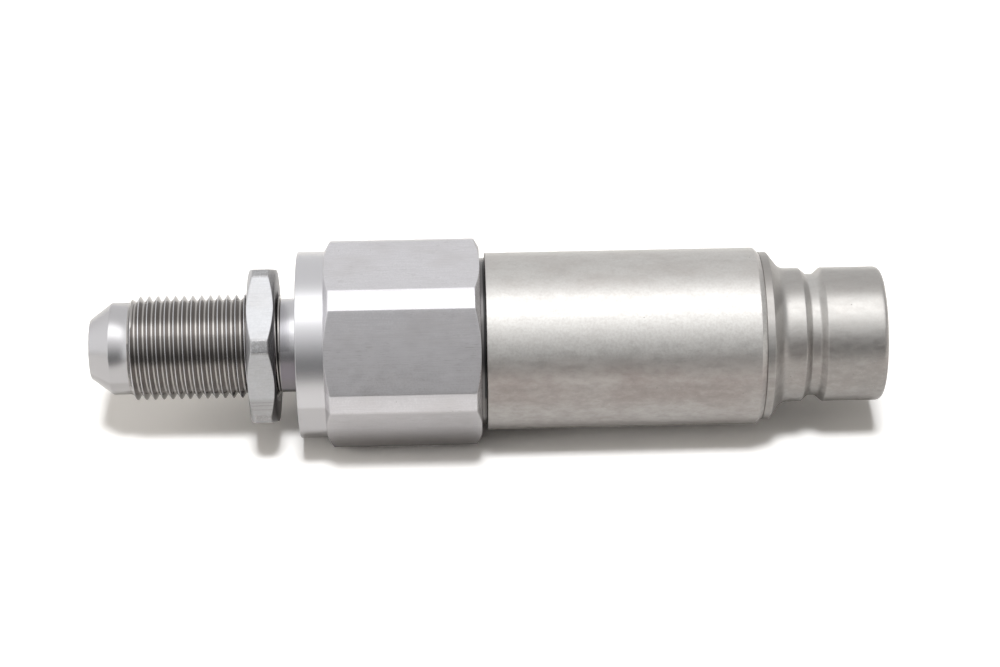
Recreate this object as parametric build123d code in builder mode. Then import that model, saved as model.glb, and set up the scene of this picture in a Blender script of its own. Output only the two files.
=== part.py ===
from build123d import *
import os
from math import cos, pi, radians, sin, tan

# Male half of a 1/2 inch flat-face quick coupler with a bulkhead flare end.
# Lengths are in millimetres. The axis is X, and the origin is the middle of the mating face.
# The nose points along +X, and stations are distances back from the mating face.

# Nose: the end that a female coupler's balls and seals close on
nose_dia = 24.5
nose_edge_radius = 1.2
groove_station = 10.9
groove_slope_length = 1.3
groove_floor_length = 1.4
groove_floor_dia = 22.2
rear_land_length = 2.5
cone_foot_radius = 2.2
cone_angle = 52.0
shoulder_dia = 30.6
shoulder_width = 1.4
bore_land_length = 6.8
nose_chamber_dia = 18.6

# Sleeve: the long barrel between the nose and the rear adapter
sleeve_dia = 32.3
sleeve_length = 50.0
sleeve_chamfer = 1.0
sleeve_chamfer_depth = 0.95

# Screwed joints at both ends of the sleeve, from its thinnest wall inwards
joint_wall = 2.4
joint_pilot_length = 7.0
joint_thread_step = 0.6
joint_thread_length = 9.0
spigot_chamfer = 0.6
joint_gland_offset = 1.6
joint_gland_depth = 1.5
joint_gland_width = 3.6

# Rear adapter
register_dia = 30.5
register_length = 1.0
hex_length = 27.95
hex_across_flats = 34.5
hex_corner_rise = 1.6
hex_chamfer_angle = 30.0
collar_dia = 34.0
collar_length = 5.05
collar_edge = 0.4
neck_dia = 17.1
neck_length = 3.1
thread_dia = 19.0
thread_length = 27.5
flare_dia = 16.8
flare_length = 3.35
flare_angle = 37.0
flare_tip_dia = 10.9
port_dia = 9.9
cavity_dia = 18.6
cavity_cone_angle = 45.0

# Lock nut on the rear thread
nut_across_flats = 27.7
nut_corner_rise = 1.55
nut_thickness = 4.85
nut_face_dia = 27.4
nut_chamfer_angle = 30.0
nut_countersink = 0.6
nut_turn = 34.9
panel_gap = 3.94

# Poppet: head, stem and their seal
poppet_head_dia = 16.0
poppet_head_length = 7.6
poppet_gland_station = 2.4
poppet_gland_depth = 1.5
poppet_gland_width = 3.0
lobe_count = 3
lobe_width = 6.4
lobe_length = 4.2
poppet_neck_dia = 11.8
poppet_hub_length = 3.6
stem_dia = 7.0
stem_collar_dia = 10.4
stem_collar_length = 1.6
stem_thread_dia = 8.0
stem_thread_length = 5.4
stem_overhang = 1.2
poppet_travel = 9.0
stem_end_room = 7.15

# Valve guide: rim, hub and spokes
guide_step = 1.0
guide_seat = 1.25
guide_rim_wall = 2.1
guide_length = 7.4
guide_hub_dia = 11.8
guide_hub_reach = 3.2
guide_spoke_count = 3
guide_spoke_width = 3.2

# Bleed valve inside the poppet head
relief_pin_dia = 3.0
relief_hole_length = 2.0
relief_flange_dia = 5.8
relief_flange_length = 1.3
relief_seal_section = 1.0
relief_tail_dia = 2.4
relief_tail_length = 2.4
relief_bore_dia = 6.4
relief_vent_dia = 2.0

# Springs and seals
poppet_spring_wire = 1.6
poppet_spring_turns = 6.5
relief_spring_wire = 0.6
relief_spring_turns = 5.0
spring_closed_turns = 1.0
spring_runs_per_turn = 16
backup_ring_width = 1.1

# Clearances
running_clearance = 0.05
thread_clearance = 0.05
ring_clearance = 0.03
seat_gap = 0.1
lobe_clearance = 0.1
spring_clearance = 0.3

# Stations worked out from the sizes above
groove_end = groove_station + 2 * groove_slope_length + groove_floor_length
cone_start = groove_end + rear_land_length
cone_rise = (shoulder_dia - nose_dia) / 2
cone_tangent = cone_foot_radius * tan(radians(cone_angle) / 2)
cone_length = cone_rise / tan(radians(cone_angle)) + cone_tangent
shoulder_start = cone_start + cone_length
sleeve_front = shoulder_start + shoulder_width
nose_spigot_end = sleeve_front + joint_pilot_length + joint_thread_length
sleeve_rear = sleeve_front + sleeve_length
adapter_spigot_front = sleeve_rear - joint_pilot_length - joint_thread_length
guide_front = adapter_spigot_front - guide_length
hex_front = sleeve_rear + register_length
hex_rear = hex_front + hex_length
collar_rear = hex_rear + collar_length
neck_rear = collar_rear + neck_length
thread_rear = neck_rear + thread_length
flare_rear = thread_rear + flare_length
tip = flare_rear + (flare_dia - flare_tip_dia) / 2 / tan(radians(flare_angle))
lobe_start = bore_land_length + seat_gap
lobe_rear = poppet_head_length + lobe_length
hub_rear = lobe_rear + poppet_hub_length
stem_front = hub_rear - stem_thread_length
stem_rear = adapter_spigot_front + stem_overhang
cavity_floor = stem_rear + poppet_travel + stem_end_room
nut_front = collar_rear + panel_gap
nut_rear = nut_front + nut_thickness
relief_flange_front = relief_hole_length + relief_seal_section + 2 * ring_clearance
relief_flange_rear = relief_flange_front + relief_flange_length
vent_station = (poppet_head_length + stem_front) / 2

# Diameters worked out from the parts that they fit, and of the hexagons' worn corners
hex_round_dia = hex_across_flats + 2 * hex_corner_rise
nut_round_dia = nut_across_flats + 2 * nut_corner_rise
nose_bore_dia = poppet_head_dia + 2 * running_clearance
pilot_bore_dia = sleeve_dia - 2 * joint_wall
joint_pilot_dia = pilot_bore_dia - 2 * thread_clearance
joint_thread_dia = joint_pilot_dia - 2 * joint_thread_step
joint_bore_dia = joint_thread_dia + 2 * thread_clearance
guide_dia = joint_thread_dia - 2 * guide_step
guide_bore_dia = guide_dia + 2 * thread_clearance
sleeve_chamber_dia = guide_bore_dia - 2 * guide_seat
stem_bore_dia = stem_dia + 2 * running_clearance
lobe_dia = nose_chamber_dia - 2 * lobe_clearance
hub_spring_dia = max(poppet_neck_dia, guide_hub_dia)
poppet_spring_dia = hub_spring_dia + 2 * spring_clearance + poppet_spring_wire
relief_spring_dia = relief_tail_dia + 2 * spring_clearance + relief_spring_wire

# A point in this plane is (station, radius), and the parts are turned about X.
half_section = Plane(origin=(0, 0, 0), x_dir=(-1, 0, 0), z_dir=(0, 0, -1))


def cross_section(station):
    """The plane across the axis at a station, with its x along +Y and its y along +Z."""
    return Plane(origin=(-station, 0, 0), x_dir=(0, 1, 0), z_dir=(1, 0, 0))


def joint_spigot(face, way):
    """Corner points of a joint spigot, from the shoulder face to its end and without its bore.

    way is 1 where the spigot points back from its shoulder, and -1 where it points forwards.
    """
    gland_floor = joint_pilot_dia / 2 - joint_gland_depth
    gland_start = face + way * joint_gland_offset
    gland_end = gland_start + way * joint_gland_width
    pilot_end = face + way * joint_pilot_length
    end = pilot_end + way * (joint_thread_length - spigot_chamfer)
    return [
        (face, joint_pilot_dia / 2),
        (gland_start, joint_pilot_dia / 2),
        (gland_start, gland_floor),
        (gland_end, gland_floor),
        (gland_end, joint_pilot_dia / 2),
        (pilot_end, joint_pilot_dia / 2),
        (pilot_end, joint_thread_dia / 2),
        (end, joint_thread_dia / 2),
        (end + way * spigot_chamfer, joint_thread_dia / 2 - spigot_chamfer),
    ]


# Nose
with BuildPart() as nose:
    land = nose_dia / 2
    floor = groove_floor_dia / 2
    with BuildSketch(half_section):
        with BuildLine():
            front = Line((0, nose_bore_dia / 2), (0, land - nose_edge_radius))
            RadiusArc(front @ 1, (nose_edge_radius, land), nose_edge_radius)
            Polyline(
                (nose_edge_radius, land),
                (groove_station, land),
                (groove_station + groove_slope_length, floor),
                (groove_end - groove_slope_length, floor),
                (groove_end, land),
                (cone_start, land),
            )
            bend = cone_tangent * cos(radians(cone_angle))
            lift = cone_tangent * sin(radians(cone_angle))
            slope_start = (cone_start + cone_tangent + bend, land + lift)
            RadiusArc((cone_start, land), slope_start, -cone_foot_radius)
            Polyline(
                slope_start,
                (shoulder_start, shoulder_dia / 2),
                (sleeve_front, shoulder_dia / 2),
                *joint_spigot(sleeve_front, 1),
                (nose_spigot_end, nose_chamber_dia / 2),
                (bore_land_length + (nose_chamber_dia - nose_bore_dia) / 2, nose_chamber_dia / 2),
                (bore_land_length, nose_bore_dia / 2),
                front @ 0,
            )
        make_face()
    revolve(axis=Axis.X)

# Sleeve
with BuildPart() as sleeve:
    outer = sleeve_dia / 2
    front_thread_end = nose_spigot_end + spigot_chamfer
    with BuildSketch(half_section):
        with BuildLine():
            Polyline(
                (sleeve_front, pilot_bore_dia / 2),
                (sleeve_front, outer - sleeve_chamfer_depth),
                (sleeve_front + sleeve_chamfer, outer),
                (sleeve_rear, outer),
                (sleeve_rear, pilot_bore_dia / 2),
                (sleeve_rear - joint_pilot_length - seat_gap, pilot_bore_dia / 2),
                (sleeve_rear - joint_pilot_length - seat_gap, joint_bore_dia / 2),
                (adapter_spigot_front, joint_bore_dia / 2),
                (adapter_spigot_front, guide_bore_dia / 2),
                (guide_front, guide_bore_dia / 2),
                (guide_front, sleeve_chamber_dia / 2),
                (front_thread_end, sleeve_chamber_dia / 2),
                (front_thread_end, joint_bore_dia / 2),
                (sleeve_front + joint_pilot_length + seat_gap, joint_bore_dia / 2),
                (sleeve_front + joint_pilot_length + seat_gap, pilot_bore_dia / 2),
                close=True,
            )
        make_face()
    revolve(axis=Axis.X)

# Rear adapter: turned from round bar, with the hex milled on its largest diameter
with BuildPart() as rear_adapter:
    flat = hex_across_flats / 2
    corner = hex_round_dia / 2
    corner_length = (corner - flat) * tan(radians(hex_chamfer_angle))
    thread_chamfer = (thread_dia - flare_dia) / 2
    cavity_end = cavity_floor + (cavity_dia - port_dia) / 2 / tan(radians(cavity_cone_angle))
    with BuildSketch(half_section):
        with BuildLine():
            Polyline(
                (adapter_spigot_front, cavity_dia / 2),
                *reversed(joint_spigot(sleeve_rear, -1)),
                (sleeve_rear, register_dia / 2),
                (hex_front, register_dia / 2),
                (hex_front, flat),
                (hex_front + corner_length, corner),
                (hex_rear - corner_length, corner),
                (hex_rear, flat),
                (hex_rear, collar_dia / 2),
                (collar_rear - collar_edge, collar_dia / 2),
                (collar_rear, collar_dia / 2 - collar_edge),
                (collar_rear, neck_dia / 2),
                (neck_rear, neck_dia / 2),
                (neck_rear + (thread_dia - neck_dia) / 2, thread_dia / 2),
                (thread_rear - thread_chamfer, thread_dia / 2),
                (thread_rear, flare_dia / 2),
                (flare_rear, flare_dia / 2),
                (tip, flare_tip_dia / 2),
                (tip, port_dia / 2),
                (cavity_end, port_dia / 2),
                (cavity_floor, cavity_dia / 2),
                close=True,
            )
        make_face()
    revolve(axis=Axis.X)
    with BuildSketch(cross_section(hex_rear)):
        Circle(hex_round_dia)
        RegularPolygon(flat, 6, major_radius=False, mode=Mode.SUBTRACT)
    extrude(amount=hex_length, mode=Mode.SUBTRACT)

# Lock nut
with BuildPart() as lock_nut:
    nut_corner = nut_round_dia / 2
    nut_bevel = (nut_corner - nut_face_dia / 2) * tan(radians(nut_chamfer_angle))
    nut_bore = thread_dia / 2 + thread_clearance
    with BuildSketch(half_section):
        with BuildLine():
            Polyline(
                (nut_front, nut_bore + nut_countersink),
                (nut_front, nut_face_dia / 2),
                (nut_front + nut_bevel, nut_corner),
                (nut_rear - nut_bevel, nut_corner),
                (nut_rear, nut_face_dia / 2),
                (nut_rear, nut_bore + nut_countersink),
                (nut_rear - nut_countersink, nut_bore),
                (nut_front + nut_countersink, nut_bore),
                close=True,
            )
        make_face()
    revolve(axis=Axis.X)
    with BuildSketch(cross_section(nut_rear)):
        Circle(nut_round_dia)
        RegularPolygon(nut_across_flats / 2, 6, major_radius=False, rotation=-nut_turn, mode=Mode.SUBTRACT)
    extrude(amount=nut_thickness, mode=Mode.SUBTRACT)

# Poppet head: flat face, seal groove, three lobes that stop and guide it, bleed valve chamber
with BuildPart() as poppet_head:
    head = poppet_head_dia / 2
    lobe = lobe_dia / 2
    neck = poppet_neck_dia / 2
    gland_end = poppet_gland_station + poppet_gland_width
    relief_hole = relief_pin_dia / 2 + running_clearance
    with BuildSketch(half_section):
        with BuildLine():
            Polyline(
                (0, relief_hole),
                (0, head),
                (poppet_gland_station, head),
                (poppet_gland_station, head - poppet_gland_depth),
                (gland_end, head - poppet_gland_depth),
                (gland_end, head),
                (lobe_start, head),
                (lobe_start + lobe - head, lobe),
                (lobe_rear, lobe),
                (lobe_rear, neck),
                (hub_rear, neck),
                (hub_rear, stem_thread_dia / 2 + thread_clearance),
                (stem_front, stem_thread_dia / 2 + thread_clearance),
                (stem_front, relief_bore_dia / 2),
                (relief_hole_length, relief_bore_dia / 2),
                (relief_hole_length, relief_hole),
                close=True,
            )
        make_face()
    revolve(axis=Axis.X)
    with BuildSketch(cross_section(lobe_rear)):
        Circle(nose_chamber_dia)
        Circle(neck, mode=Mode.SUBTRACT)
        with PolarLocations(0, lobe_count, start_angle=90):
            Rectangle(2 * nose_chamber_dia, lobe_width, align=(Align.MIN, Align.CENTER), mode=Mode.SUBTRACT)
    extrude(amount=lobe_length, mode=Mode.SUBTRACT)
    vent_plane = Plane(origin=(-vent_station, 0, 0), x_dir=(1, 0, 0), z_dir=(0, 0, -1))
    for lobe_index in range(lobe_count):
        turn = 360 / lobe_count * lobe_index
        with BuildSketch(vent_plane.rotated((turn, 0, 0))):
            Circle(relief_vent_dia / 2)
        extrude(amount=lobe, mode=Mode.SUBTRACT)

# Poppet stem, screwed into the head's hub
with BuildPart() as poppet_stem:
    with BuildSketch(half_section):
        with BuildLine():
            Polyline(
                (stem_front, 0),
                (stem_front, stem_thread_dia / 2),
                (hub_rear, stem_thread_dia / 2),
                (hub_rear, stem_collar_dia / 2),
                (hub_rear + stem_collar_length, stem_collar_dia / 2),
                (hub_rear + stem_collar_length, stem_dia / 2),
                (stem_rear - spigot_chamfer, stem_dia / 2),
                (stem_rear, stem_dia / 2 - spigot_chamfer),
                (stem_rear, 0),
                close=True,
            )
        make_face()
    revolve(axis=Axis.X)

# Valve guide: a hub on spokes inside a rim
with BuildPart() as valve_guide:
    hub = guide_hub_dia / 2
    with BuildSketch(half_section):
        with BuildLine():
            Polyline(
                (guide_front - guide_hub_reach, stem_bore_dia / 2),
                (guide_front - guide_hub_reach, hub),
                (guide_front, hub),
                (guide_front, guide_dia / 2),
                (adapter_spigot_front, guide_dia / 2),
                (adapter_spigot_front, stem_bore_dia / 2),
                close=True,
            )
        make_face()
    revolve(axis=Axis.X)
    with BuildSketch(cross_section(adapter_spigot_front)):
        Circle(guide_dia / 2 - guide_rim_wall)
        Circle(hub, mode=Mode.SUBTRACT)
        with PolarLocations(0, guide_spoke_count, start_angle=90):
            Rectangle(guide_dia, guide_spoke_width, align=(Align.MIN, Align.CENTER), mode=Mode.SUBTRACT)
    extrude(amount=guide_length, mode=Mode.SUBTRACT)

# Bleed plunger
with BuildPart() as relief_plunger:
    with BuildSketch(half_section):
        with BuildLine():
            Polyline(
                (0, 0),
                (0, relief_pin_dia / 2),
                (relief_flange_front, relief_pin_dia / 2),
                (relief_flange_front, relief_flange_dia / 2),
                (relief_flange_rear, relief_flange_dia / 2),
                (relief_flange_rear, relief_tail_dia / 2),
                (relief_flange_rear + relief_tail_length, relief_tail_dia / 2),
                (relief_flange_rear + relief_tail_length, 0),
                close=True,
            )
        make_face()
    revolve(axis=Axis.X)


def round_seal(station, inner_radius, outer_radius):
    """A squeezed O-ring that fills the radial space and starts at a station, drawn with eight sides."""
    section = (outer_radius - inner_radius) / 2
    with BuildPart() as ring:
        with BuildSketch(half_section):
            with Locations((station + section, inner_radius + section)):
                RegularPolygon(section, 8, major_radius=False, rotation=22.5)
        revolve(axis=Axis.X)
    return ring


def backup_ring(station, inner_radius, outer_radius):
    """A flat backup ring that starts at a station."""
    with BuildPart() as ring:
        with BuildSketch(half_section):
            with Locations((station, inner_radius)):
                Rectangle(backup_ring_width, outer_radius - inner_radius, align=(Align.MIN, Align.MIN))
        revolve(axis=Axis.X)
    return ring


def coil_spring(front, rear, mean_dia, wire_dia, turns):
    """A compression spring with closed ends between two seats, its coil drawn with short straight runs.

    The closed turns at each end rise by one wire per turn, and the turns between share what is left.
    """
    height = rear - front - wire_dia
    open_pitch = (height - 2 * spring_closed_turns * wire_dia) / (turns - 2 * spring_closed_turns)
    steps = round(turns * spring_runs_per_turn)
    corners = []
    for step in range(steps + 1):
        turn = turns * step / steps
        closed = min(turn, spring_closed_turns) + max(0, turn - turns + spring_closed_turns)
        rise = closed * wire_dia + (turn - closed) * open_pitch
        angle = 2 * pi * turn
        corners.append(
            (-(front + wire_dia / 2 + rise), mean_dia / 2 * cos(angle), mean_dia / 2 * sin(angle))
        )
    with BuildPart() as spring:
        with BuildLine() as coil:
            Polyline(*corners)
        with BuildSketch(Plane(origin=coil.line @ 0, z_dir=coil.line % 0)):
            RegularPolygon(wire_dia / 2, 6, major_radius=False)
        sweep(path=coil.line, transition=Transition.RIGHT)
    return spring


# Seals in the poppet's groove: the O-ring faces the mating face, the backup ring is behind it
poppet_seal_inner = poppet_head_dia / 2 - poppet_gland_depth + ring_clearance
poppet_seal = round_seal(poppet_gland_station + ring_clearance, poppet_seal_inner, poppet_head_dia / 2)
poppet_backup_ring = backup_ring(
    poppet_gland_station + poppet_gland_width - backup_ring_width - ring_clearance,
    poppet_seal_inner,
    poppet_head_dia / 2,
)

# Seals in the two screwed joints
joint_seal_inner = joint_pilot_dia / 2 - joint_gland_depth + ring_clearance
joint_seal_outer = pilot_bore_dia / 2 - ring_clearance
joint_seal_width = joint_seal_outer - joint_seal_inner
nose_gland = sleeve_front + joint_gland_offset
adapter_gland = sleeve_rear - joint_gland_offset
nose_backup_ring = backup_ring(nose_gland + ring_clearance, joint_seal_inner, joint_seal_outer)
nose_o_ring = round_seal(
    nose_gland + backup_ring_width + 2 * ring_clearance, joint_seal_inner, joint_seal_outer
)
adapter_backup_ring = backup_ring(
    adapter_gland - backup_ring_width - ring_clearance, joint_seal_inner, joint_seal_outer
)
adapter_o_ring = round_seal(
    adapter_gland - backup_ring_width - 2 * ring_clearance - joint_seal_width,
    joint_seal_inner,
    joint_seal_outer,
)

# The bleed valve's seal lies round its pin, between the head and the plunger's flange.
relief_seal_inner = relief_pin_dia / 2 + ring_clearance
relief_seal = round_seal(
    relief_hole_length + ring_clearance, relief_seal_inner, relief_seal_inner + relief_seal_section
)

# Springs
poppet_spring = coil_spring(
    lobe_rear, guide_front, poppet_spring_dia, poppet_spring_wire, poppet_spring_turns
)
relief_spring = coil_spring(
    relief_flange_rear, stem_front, relief_spring_dia, relief_spring_wire, relief_spring_turns
)

pieces = {
    "nose": nose,
    "sleeve": sleeve,
    "rear_adapter": rear_adapter,
    "lock_nut": lock_nut,
    "poppet_head": poppet_head,
    "poppet_stem": poppet_stem,
    "poppet_seal": poppet_seal,
    "poppet_backup_ring": poppet_backup_ring,
    "poppet_spring": poppet_spring,
    "valve_guide": valve_guide,
    "relief_plunger": relief_plunger,
    "relief_seal": relief_seal,
    "relief_spring": relief_spring,
    "nose_o_ring": nose_o_ring,
    "nose_backup_ring": nose_backup_ring,
    "adapter_o_ring": adapter_o_ring,
    "adapter_backup_ring": adapter_backup_ring,
}

os.makedirs("parts", exist_ok=True)
for name, piece in pieces.items():
    piece.part.label = name
    export_step(piece.part, f"parts/{name}.step")
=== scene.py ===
"""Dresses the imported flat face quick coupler: turned and milled steel pieces, springs, seals and the stage.

Every new piece is a surface round the X axis. A station is the distance back from the mating face,
so x = -station, and a point at an angle a and radius r has y = r cos a and z = r sin a.
"""

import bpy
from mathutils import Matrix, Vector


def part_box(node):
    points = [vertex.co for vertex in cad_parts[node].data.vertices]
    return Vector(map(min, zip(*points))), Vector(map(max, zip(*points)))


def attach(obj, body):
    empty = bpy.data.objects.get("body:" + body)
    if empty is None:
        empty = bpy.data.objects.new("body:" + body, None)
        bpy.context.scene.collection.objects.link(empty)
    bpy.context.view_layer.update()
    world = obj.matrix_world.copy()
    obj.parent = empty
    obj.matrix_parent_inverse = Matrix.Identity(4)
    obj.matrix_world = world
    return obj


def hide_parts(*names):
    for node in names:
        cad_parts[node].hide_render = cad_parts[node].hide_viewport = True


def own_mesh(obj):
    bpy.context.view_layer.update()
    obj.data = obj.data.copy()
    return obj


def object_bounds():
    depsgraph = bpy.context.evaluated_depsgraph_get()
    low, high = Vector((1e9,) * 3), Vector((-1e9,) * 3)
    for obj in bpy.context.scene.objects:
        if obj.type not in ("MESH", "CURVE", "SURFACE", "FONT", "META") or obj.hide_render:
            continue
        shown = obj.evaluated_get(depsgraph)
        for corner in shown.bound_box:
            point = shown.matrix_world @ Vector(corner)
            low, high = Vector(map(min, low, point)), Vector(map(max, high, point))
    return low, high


bl_info = {
    "name": "Flat Face Quick Coupler",
    "version": (1, 0, 0),
    "blender": (4, 5, 0),
    "location": "3D View > Sidebar > Coupler",
    "description": "Builds the looks of a flat face quick coupler round its packed solids",
    "category": "Add Mesh",
}

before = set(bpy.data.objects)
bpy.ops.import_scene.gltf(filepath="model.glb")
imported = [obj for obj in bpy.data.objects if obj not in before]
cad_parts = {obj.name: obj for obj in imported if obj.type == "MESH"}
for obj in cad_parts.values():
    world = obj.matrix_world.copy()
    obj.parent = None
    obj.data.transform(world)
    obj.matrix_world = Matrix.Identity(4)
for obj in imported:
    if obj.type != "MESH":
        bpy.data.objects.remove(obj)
cad_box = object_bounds()

from math import acos, atan2, ceil, cos, pi, radians, sin, tan

import bmesh
import bpy
import numpy as np
from bpy.props import FloatProperty, FloatVectorProperty, IntProperty, PointerProperty
from mathutils import Matrix, Vector

MM = 0.001

# Distance under which two points are welded into one
WELD = 0.0002 * MM

HEX_SIDES = 6
HEX_STEP = 2 * pi / HEX_SIDES
UP = pi / 2


def length(name, description, millimetres):
    """A size property in metres, written in millimetres."""
    return FloatProperty(
        name=name, description=description, default=millimetres * MM, unit="LENGTH", precision=5
    )


def angle(name, description, value):
    """An angle property in radians, written in degrees."""
    return FloatProperty(name=name, description=description, default=radians(value), subtype="ANGLE")


def share(name, description, value, limit=1.0):
    """A number from 0 to a limit."""
    return FloatProperty(name=name, description=description, default=value, min=0.0, max=limit)


def colour(name, description, value):
    """A linear RGB colour."""
    return FloatVectorProperty(
        name=name, description=description, default=value, size=3, subtype="COLOR", min=0.0, max=1.0
    )


def stations(node):
    """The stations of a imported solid's front and rear ends."""
    low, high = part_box(node)
    return -high.x, -low.x


def outer_radius(node):
    """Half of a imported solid's largest width across the axis."""
    low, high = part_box(node)
    return max(high.y - low.y, high.z - low.z) / 2


class NoseSizes(bpy.types.PropertyGroup):
    """The nose, which a female coupler's balls and seals close on."""

    nose_dia: length("Nose diameter", "The plain front end", 24.5)
    edge_round: length("Front edge", "Radius of the front edge", 1.2)
    groove_station: length("Groove", "From the mating face to the ball groove", 10.9)
    groove_slope: length("Groove slope", "Length of each slope of the groove", 1.3)
    groove_floor: length("Groove floor", "Length of the groove's floor", 1.4)
    groove_dia: length("Groove diameter", "Diameter of the groove's floor", 22.2)
    groove_round: length("Groove round", "Radius at the foot of the groove's slopes", 0.7)
    rear_land: length("Rear land", "Plain length behind the groove", 2.5)
    foot_round: length("Cone foot", "Radius where the cone leaves the land", 2.2)
    cone_angle: angle("Cone angle", "Slope of the cone to the axis", 52.0)
    shoulder_dia: length("Shoulder diameter", "The land beside the sleeve", 30.6)
    shoulder_width: length("Shoulder width", "Length of that land", 1.4)
    bore_dia: length("Bore", "The poppet's bore", 16.1)
    bore_land: length("Bore length", "Length of that bore", 6.8)
    chamber_dia: length("Chamber", "The wider bore behind it", 18.6)


class JointSizes(bpy.types.PropertyGroup):
    """The screwed joints at both ends of the sleeve."""

    pilot_dia: length("Pilot diameter", "The plain part of a spigot", 27.4)
    pilot_bore: length("Pilot bore", "The sleeve's bore round it", 27.5)
    pilot_length: length("Pilot length", "Length of the plain part", 7.0)
    thread_dia: length("Thread diameter", "The spigot's threaded part", 26.2)
    thread_bore: length("Thread bore", "The sleeve's bore round it", 26.3)
    thread_length: length("Thread length", "Length of the threaded part", 9.0)
    gland_offset: length("Gland offset", "From the shoulder to the seal's groove", 1.6)
    gland_depth: length("Gland depth", "Depth of the seal's groove", 1.5)
    gland_width: length("Gland width", "Width of the seal's groove", 3.6)
    end_chamfer: length("End chamfer", "Chamfer of the spigot's end", 0.6)
    end_gap: length("End gap", "Gap where a bore changes its diameter", 0.1)
    guide_bore: length("Guide bore", "The bore that holds the valve guide", 24.3)
    guide_length: length("Guide length", "Length of that bore", 7.4)
    chamber_bore: length("Chamber bore", "The bore before it", 21.8)


class SleeveSizes(bpy.types.PropertyGroup):
    """The long barrel."""

    chamfer: length("Chamfer", "Length of the front chamfer", 1.0)
    chamfer_depth: length("Chamfer depth", "Depth of the front chamfer", 0.95)
    edge_round: length("Edge round", "Radius of its worn edges", 0.16)


class AdapterSizes(bpy.types.PropertyGroup):
    """The rear adapter: register, hex, collar, neck, thread and flare."""

    register_dia: length("Register diameter", "The narrow land behind the sleeve", 30.5)
    register_length: length("Register length", "Length of that land", 1.0)
    hex_length: length("Hex length", "Length of the hex", 27.95)
    across_flats: length("Across flats", "Width of the hex", 34.5)
    hex_dia: length("Hex diameter", "Diameter of the bar that the hex is milled from", 37.7)
    chamfer_angle: angle("Hex chamfer", "Slope of the chamfers at the hex's ends", 30.0)
    collar_dia: length("Collar diameter", "The round collar", 34.0)
    collar_length: length("Collar length", "Length of the collar", 5.05)
    neck_dia: length("Neck diameter", "The relief between the collar and the thread", 17.1)
    neck_length: length("Neck length", "Length of the relief", 3.1)
    thread_dia: length("Thread diameter", "Diameter over the crests", 19.0)
    thread_pitch: length("Thread pitch", "From one crest to the next", 1.5875)
    thread_length: length("Thread length", "Length of the thread", 27.5)
    thread_lead: length("Thread lead-in", "From the neck to the first crest at the column of angle 0", 0.54)
    crest_width: length("Crest width", "Width of the crest's flat", 0.12)
    root_dia: length("Root diameter", "Diameter in the thread's roots", 17.1)
    end_slope: share("End slope", "Rise of the chamfer at the thread's rear end over its length", 1.6, 5.0)
    flare_dia: length("Flare diameter", "The plain end before the flare", 16.8)
    flare_length: length("Flare length", "Length of the plain end", 3.35)
    tip_dia: length("Tip diameter", "Diameter of the flare's small end", 10.9)
    port_dia: length("Port", "The bore through the rear end", 9.9)
    cavity_dia: length("Cavity", "The wider bore that the stem moves in", 18.6)
    cavity_slope: angle("Cavity slope", "Slope between the cavity and the port", 45.0)
    edge_round: length("Edge round", "Radius of its worn edges", 0.14)

    def stations(self):
        """Stations where the hex starts and ends, then the ends of collar, neck, thread and flare land."""
        hex_front = stations("sleeve")[1] + self.register_length
        steps = (self.hex_length, self.collar_length, self.neck_length, self.thread_length, self.flare_length)
        return hex_front, *(hex_front + np.cumsum(steps))


class NutSizes(bpy.types.PropertyGroup):
    """The lock nut."""

    across_flats: length("Across flats", "Width of the nut", 27.7)
    corner_dia: length("Corner diameter", "Diameter over the worn corners", 30.8)
    face_dia: length("Face diameter", "Diameter of the flat faces", 27.4)
    chamfer_angle: angle("Chamfer", "Slope of the chamfers", 30.0)
    bore_dia: length("Bore", "The thread's bore", 19.1)
    countersink: length("Countersink", "Chamfer of the bore", 0.6)
    turn: angle("Turn", "How far its flats are turned from the hex's", 34.9)


class InnerSizes(bpy.types.PropertyGroup):
    """The springs and the bleed plunger."""

    poppet_spring_length: length("Poppet spring", "Length of the poppet's spring", 37.056)
    poppet_spring_dia: length("Poppet coil", "Mean diameter of its coil", 14.0)
    poppet_wire: length("Poppet wire", "Wire of the poppet's spring", 1.6)
    poppet_turns: FloatProperty(name="Poppet turns", description="Turns of that spring", default=6.5)
    poppet_shut: length("Poppet travel", "How much that spring shortens", 9.0)
    bleed_spring_length: length("Bleed spring", "Length of the bleed valve's spring", 5.64)
    bleed_spring_dia: length("Bleed coil", "Mean diameter of its coil", 3.6)
    bleed_wire: length("Bleed wire", "Wire of the bleed valve's spring", 0.6)
    bleed_turns: FloatProperty(name="Bleed turns", description="Turns of that spring", default=5.0)
    bleed_shut: length("Bleed travel", "How much that spring shortens", 1.2)
    closed_turns: FloatProperty(name="Closed turns", description="Closed turns at each end", default=1.0)
    pin_dia: length("Pin diameter", "The bleed plunger's pin", 3.0)
    flange_station: length("Flange", "From the mating face to the plunger's flange", 3.06)
    flange_length: length("Flange length", "Length of the flange", 1.3)
    tail_dia: length("Tail diameter", "The plunger's tail", 2.4)


class MeshDetail(bpy.types.PropertyGroup):
    """How finely the surfaces are divided."""

    sides: IntProperty(name="Sides", description="Divisions round a turned piece", default=252, min=24)
    arc_step: angle("Arc step", "Largest turn between two points of a rounded edge", 18.0)
    flat_steps: IntProperty(name="Flat steps", description="Divisions across a flat", default=28, min=4)
    corner_steps: IntProperty(name="Corner steps", description="Divisions round a hex corner", default=8)
    edge_support: angle("Edge support", "Turn between a hex edge and the line beside it", 0.3)
    wire_sides: IntProperty(name="Wire sides", description="Divisions round a spring's wire", default=16)
    wire_steps: IntProperty(name="Wire steps", description="Divisions of a spring's turn", default=64)
    seal_sides: IntProperty(name="Seal sides", description="Divisions round a seal's section", default=24)


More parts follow.
